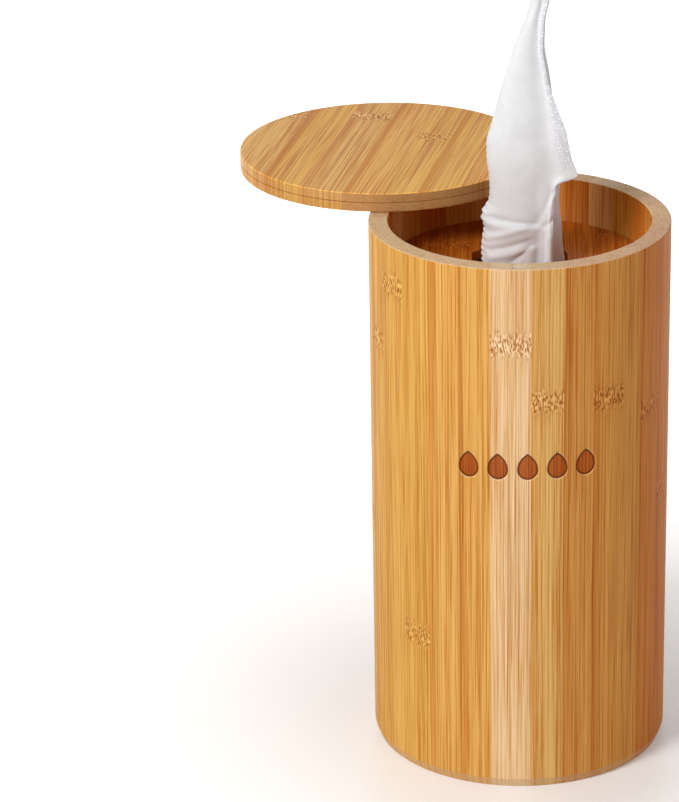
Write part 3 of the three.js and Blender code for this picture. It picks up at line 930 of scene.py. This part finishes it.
def spline(places, at):
    """Catmull-Rom through places, whose second axis runs along the curve."""
    count = places.shape[1]
    t = at * (count - 1)
    i = np.clip(t.astype(int), 0, count - 2)
    f = (t - i)[None, :, None]
    p1, p2 = places[:, i], places[:, i + 1]
    p0 = places[:, np.maximum(i - 1, 0)]
    p3 = places[:, np.minimum(i + 2, count - 1)]
    return 0.5 * (
        2 * p1 + (p2 - p0) * f + (2 * p0 - 5 * p1 + 4 * p2 - p3) * f * f
        + (3 * p1 - 3 * p2 + p3 - p0) * f * f * f
    )


def ribbon(height, left, right, fold, corner, depth, at):
    """Each row seen from above: loose corner, front, left side, pleated back, right side, middle."""
    def across(share):
        return left + (right - left) * share

    def along(share):
        return fold + (left - fold) * share

    places = [
        (corner, -1.05 * depth),
        ((corner + fold) / 2, -1.12 * depth),
        (fold, -0.86 * depth),
        (along(0.35), -1.06 * depth),
        (along(0.7), -0.98 * depth),
        (across(0.06), -0.62 * depth),
        (across(0), 0 * depth),
        (across(0.06), 0.66 * depth),
    ]
    valley = 1 - 0.74 * (depth * 2 / HOLE_DEPTH) ** 0.5
    for k in range(2 * PLEATS + 1):
        sway = 0.016 * np.sin(height / (16 * MM) + 2.1 * k) + 0.01 * math.sin(3.7 * k)
        share = 0.1 + 0.8 * k / (2 * PLEATS) + sway
        uneven = np.sin(height / (21 * MM) + 1.3 * k + 0.8 * math.sin(2.9 * k))
        level = valley + 0.1 * uneven if k % 2 else 0.95 + 0.05 * uneven
        places.append((across(share), depth * level))
    places += [
        (across(0.96), 0.6 * depth),
        (across(1), 0.05 * depth),
        (across(0.88), -0.32 * depth),
    ]
    for k in range(7):
        places.append((across(0.78 - 0.1 * k), depth * (-0.02 if k % 2 else -0.46)))
    places = np.stack([np.stack(p, -1) for p in places], 1)
    return spline(places, at)


def crease(x, h, start, end, width):
    """1 along the line from start to end, fading to 0 over the width, in the plane of the front."""
    a, b = np.array(start) * MM, np.array(end) * MM
    line = b - a
    t = np.clip(((x - a[0]) * line[0] + (h - a[1]) * line[1]) / (line @ line), 0, 1)
    away = np.hypot(x - a[0] - t * line[0], h - a[1] - t * line[1])
    return np.exp(-(away / width) ** 2)


def step(value, low, high):
    """A smooth step from 0 at low to 1 at high."""
    t = np.clip((value - low) / (high - low), 0, 1)
    return t * t * (3 - 2 * t)


# Creases of the front below the rim, in mm: start and end as (across, height), width, and how far out
CREASES = (
    ((-13, 21.5), (7.1, 18.6), 1.0, 0.7),
    ((-14, 12.4), (2.9, 18.2), 1.1, -0.6),
    ((-12.4, 7.5), (3.8, 12.2), 1.2, 0.7),
    ((-12, 4), (2.5, 8.5), 1.3, -0.6),
    ((-3.7, 2.3), (4.6, 10.5), 0.8, 0.9),
    ((3.5, 0), (5.5, 9), 0.9, -0.7),
    ((7.2, -2), (7.6, 16), 0.9, 0.6),
    ((13.5, 33), (8, 20.5), 1.0, 0.8),
    ((14.2, 22), (9.6, 17.5), 0.9, 0.6),
    ((13, 0), (12.2, 14), 1.0, -0.6),
    ((16, 4), (15.4, 26), 1.1, 0.5),
)


def torn(x, h, left, at):
    """How far the left side is set in by its scallops, as a perforated edge tears."""
    near = np.exp(-((x - left[:, None]) / TORN_WIDTH) ** 2) * (at < 0.3)[None]
    scallop = np.abs(np.sin(math.pi * h / SCALLOP_PITCH)) - 0.6
    low_part = 1 - 0.8 * step(h, 24 * MM, 32 * MM)
    gone = 1 - step(h, 60 * MM, 90 * MM)
    return near * scallop * SCALLOP_DEPTH * low_part * gone * step(h, -6 * MM, 0)


def relief(x, h, at):
    """How far each place stands out from the folded outline."""
    # the front's creases, its hem, and the step where it lies over the strip beside it
    front = 1 - step(at, 0.17, 0.2)[None]
    out = np.zeros_like(x)
    for start, end, width, size in CREASES:
        out += crease(x, h, start, end, width * MM) * size * MM
    out *= front * step(h, -6 * MM, 2 * MM)
    edge = HEM_LEVEL - HEM_FALL * (x - HEM_START)
    hem = step(h - edge, -0.3 * MM, 0.5 * MM) * (1 - step(h, 30 * MM, 46 * MM))
    out += HEM_STEP * hem * front * (1 - step(x, 7.5 * MM, 10 * MM))

    # soft waves all over, fuller low down, and folds that run up the column
    wave = np.sin(h / (5.1 * MM) + 5 * np.sin(at * 9)[None]) * np.cos(at * 31 + h / (13 * MM))
    out += 0.28 * MM * wave * (1 - 0.6 * step(h, 20 * MM, 50 * MM)) * step(h, TAIL, TAIL + 6 * MM)
    up = np.sin(at[None] * 58 + 1.2 * np.sin(h / (21 * MM)))
    out += 0.22 * MM * up * (0.4 + 0.6 * step(h, 60 * MM, 95 * MM))

    # the loose corner curls forward a little at its lower edge
    loose = (1 - step(at, 0.02, 0.09))[None] * np.exp(-((h - CORNER_LEVEL) / (9 * MM)) ** 2)
    out += CORNER_CURL * loose
    return out


def pushed_out(x, y, out):
    """The outline with each place moved square to it."""
    along = np.gradient(np.stack([x, y], -1), axis=1)
    along /= np.linalg.norm(along, axis=-1, keepdims=True) + 1e-12
    return x + out * along[..., 1], y - out * along[..., 0]


def thickened(middle):
    """The sheet's two faces, half its thickness off its middle, as one closed mesh."""
    du, dv = np.gradient(middle, axis=1), np.gradient(middle, axis=0)
    normal = np.cross(du, dv)
    normal /= np.linalg.norm(normal, axis=-1, keepdims=True) + 1e-12
    face, back = middle + normal * SHEET / 2, middle - normal * SHEET / 2
    ring = np.concatenate([face, back[:, ::-1]], 1)
    rows, size = ring.shape[:2]
    faces = grid_faces(rows, size, False, True)
    for first, flip in ((0, True), ((rows - 1) * size, False)):
        for k in range(size // 2 - 1):
            other = size - 1 - k
            quad = [first + k, first + k + 1, first + other - 1, first + other]
            faces.append(quad[::-1] if flip else quad)
    return mesh_object("folded_wipe", ring.reshape(-1, 3), faces)


def cloth_layer(mesh, middle, h, at):
    """Each point's place on the flat cloth, and where the cloth is single."""
    pieces = np.linalg.norm(np.diff(middle, axis=1), axis=-1)
    length = np.concatenate([np.zeros((len(middle), 1)), np.cumsum(pieces, 1)], 1)
    single = (1 - step(at, 0.035, 0.06))[None] * step(h, 41 * MM, 47 * MM)
    cloth = np.stack([length, h, single], -1)
    cloth = np.concatenate([cloth, cloth[:, ::-1]], 1).reshape(-1, 3)
    layer = mesh.attributes.new("cloth", "FLOAT_VECTOR", "POINT")
    layer.data.foreach_set("vector", cloth.astype(np.float32).ravel())


def drawn_wipe():
    """The folded wipe: its outline softened along its height, torn, creased and given a thickness."""
    rows = wipe_rows()
    height = np.linspace(TAIL, WIPE_RISE, WIPE_ROWS)
    pitch = height[1] - height[0]
    values = [np.interp(height, rows[:, 0], rows[:, k]) for k in range(1, 6)]
    left, right, fold, corner, depth = (softened(v, pitch, r * MM) for v, r in zip(values, WIPE_REACH))
    at = np.linspace(0, 1, WIPE_COLUMNS)
    line = ribbon(height, left, right, fold, corner, depth, at)
    x, y = line[..., 0], line[..., 1]
    h = np.repeat(height[:, None], WIPE_COLUMNS, 1)
    x = x - torn(x, h, left, at)
    x, y = pushed_out(x, y, relief(x, h, at))
    middle = np.stack([x, y, h + PLATE_TOP], -1)
    obj = thickened(middle)
    cloth_layer(obj.data, middle, h, at)
    obj.data.materials.append(nonwoven("damp nonwoven"))
    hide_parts("drawn_wipe")
    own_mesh(obj)
    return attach(obj, "container")


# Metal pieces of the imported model, which keep their shape

def metal():
    """Nickel, tinted warm as a painted reflection of the bamboo round it, for the magnets, and drawn
    steel for the pin.
    """
    # the warm beige tint is a painted reflection of the bamboo rim
    nickel = plated("nickel with painted warm reflection", srgb(214, 192, 164), 0.45)
    steel = plated("drawn steel", srgb(184, 186, 190), 0.25)
    for name, look in (("rim_magnet", nickel), ("lid_magnet", nickel), ("pivot_pin", steel)):
        materials = bpy.data.objects[name].data.materials
        materials.clear()
        materials.append(look)


# Camera, light and floor

CAMERA_DISTANCE = 1.55
CAMERA_ELEVATION = math.radians(23.395)
CAMERA_YAW = math.radians(-3.023)
CAMERA_RAISE = math.radians(1.187)
CAMERA_ROLL = math.radians(-1.059)
CAMERA_LENS = 165.1
LIT_POINT = Vector((0, 0, 0.15))
FLOOR_RADIUS = 4.0
FLOOR_COLOUR = (0.85, 0.83, 0.81, 1)
WHITE = (1, 1, 1, 1)
FLOOR_GLOW = (0.17, 0.95)  # the floor's own glow beside the object and far away: low beside it, which paints shade round the foot
FLOOR_GLOW_FROM = 0.08  # and where it starts to grow and stops, in metres from the axis
FLOOR_GLOW_TO = 0.5
WORLD_LIGHT = 0.3
WORLD_SEEN = 1.0


def camera():
    """A long lens in front and above, turned a little to the left of the object, as in the photo."""
    middle = Vector((0, 0, HEIGHT / 2))
    back = Vector((0, -math.cos(CAMERA_ELEVATION), math.sin(CAMERA_ELEVATION)))
    pitch = CAMERA_RAISE - CAMERA_ELEVATION
    forward = Vector((
        math.sin(CAMERA_YAW) * math.cos(pitch), math.cos(CAMERA_YAW) * math.cos(pitch), math.sin(pitch)
    ))
    right = forward.cross(Vector((0, 0, 1))).normalized()
    up = right.cross(forward)
    turn = Matrix.Rotation(-CAMERA_ROLL, 4, forward)
    right, up = turn @ right, turn @ up
    data = bpy.data.cameras.new("camera")
    data.lens = CAMERA_LENS
    data.sensor_width = 36
    obj = bpy.data.objects.new("camera", data)
    axes = Matrix((right, up, -forward)).transposed().to_4x4()
    obj.matrix_world = Matrix.Translation(middle + back * CAMERA_DISTANCE) @ axes
    bpy.context.scene.collection.objects.link(obj)
    bpy.context.scene.camera = obj


def lamp(name, place, size, power):
    """A round, soft, white light that faces the object."""
    data = bpy.data.lights.new(name, "AREA")
    data.shape = "DISK"
    data.size = size
    data.energy = power
    obj = bpy.data.objects.new(name, data)
    place = Vector(place)
    facing = (LIT_POINT - place).to_track_quat("-Z", "Y")
    obj.matrix_world = Matrix.Translation(place) @ facing.to_matrix().to_4x4()
    bpy.context.scene.collection.objects.link(obj)


def seen(tree):
    """1 for what the camera sees, straight or in a reflection or through glass."""
    path = tree.nodes.new("ShaderNodeLightPath")
    total = path.outputs["Is Camera Ray"]
    for name in ("Is Glossy Ray", "Is Transmission Ray"):
        add = tree.nodes.new("ShaderNodeMath")
        add.operation = "MAXIMUM"
        tree.links.new(total, add.inputs[0])
        tree.links.new(path.outputs[name], add.inputs[1])
        total = add.outputs[0]
    return total


def surroundings():
    """A white world, dimmer as light than as it is seen."""
    world = bpy.data.worlds.new("studio")
    bpy.context.scene.world = world
    world.use_nodes = True
    tree = world.node_tree
    background = tree.nodes["Background"]
    background.inputs["Color"].default_value = WHITE
    strength = tree.nodes.new("ShaderNodeMapRange")
    strength.inputs["To Min"].default_value = WORLD_LIGHT
    strength.inputs["To Max"].default_value = WORLD_SEEN
    tree.links.new(seen(tree), strength.inputs["Value"])
    tree.links.new(strength.outputs[0], background.inputs["Strength"])


def glow_with_painted_shade(tree):
    """The floor's own glow: little beside the object, which paints shade round its foot and lets its real
    shadow show, and more far away.
    """
    place = tree.nodes.new("ShaderNodeTexCoord")
    distance = tree.nodes.new("ShaderNodeVectorMath")
    distance.operation = "LENGTH"
    tree.links.new(place.outputs["Object"], distance.inputs[0])
    ramp = tree.nodes.new("ShaderNodeMapRange")
    ramp.inputs["From Min"].default_value = FLOOR_GLOW_FROM
    ramp.inputs["From Max"].default_value = FLOOR_GLOW_TO
    ramp.inputs["To Min"].default_value = FLOOR_GLOW[0]
    ramp.inputs["To Max"].default_value = FLOOR_GLOW[1]
    tree.links.new(distance.outputs["Value"], ramp.inputs["Value"])
    return ramp.outputs[0]


def floor():
    """A pale, half glossy floor."""
    bpy.ops.mesh.primitive_circle_add(vertices=96, radius=FLOOR_RADIUS, fill_type="NGON")
    obj = bpy.context.object
    obj.name = "floor"
    material = bpy.data.materials.new("pale floor")
    material.use_nodes = True
    tree = material.node_tree
    shader = tree.nodes["Principled BSDF"]
    shader.inputs["Base Color"].default_value = FLOOR_COLOUR
    shader.inputs["Roughness"].default_value = 0.35
    shader.inputs["Emission Color"].default_value = WHITE
    # the glow, seen by the camera, is dimmer near the object: painted shade round its foot
    lift = tree.nodes.new("ShaderNodeMath")
    lift.operation = "MULTIPLY"
    tree.links.new(seen(tree), lift.inputs[0])
    tree.links.new(glow_with_painted_shade(tree), lift.inputs[1])
    tree.links.new(lift.outputs[0], shader.inputs["Emission Strength"])
    obj.data.materials.append(material)


camera()
tube()
lid()
plate()
base()
roll()
drawn_wipe()
metal()
surroundings()
floor()
lamp("key", (-1.1, -1.2, 1.4), 0.7, 27)
lamp("fill", (1.5, -1.5, 0.35), 1.0, 5)
lamp("top", (-0.3, 0.4, 1.9), 1.0, 5)
bpy.context.scene.view_settings.view_transform = "Standard"
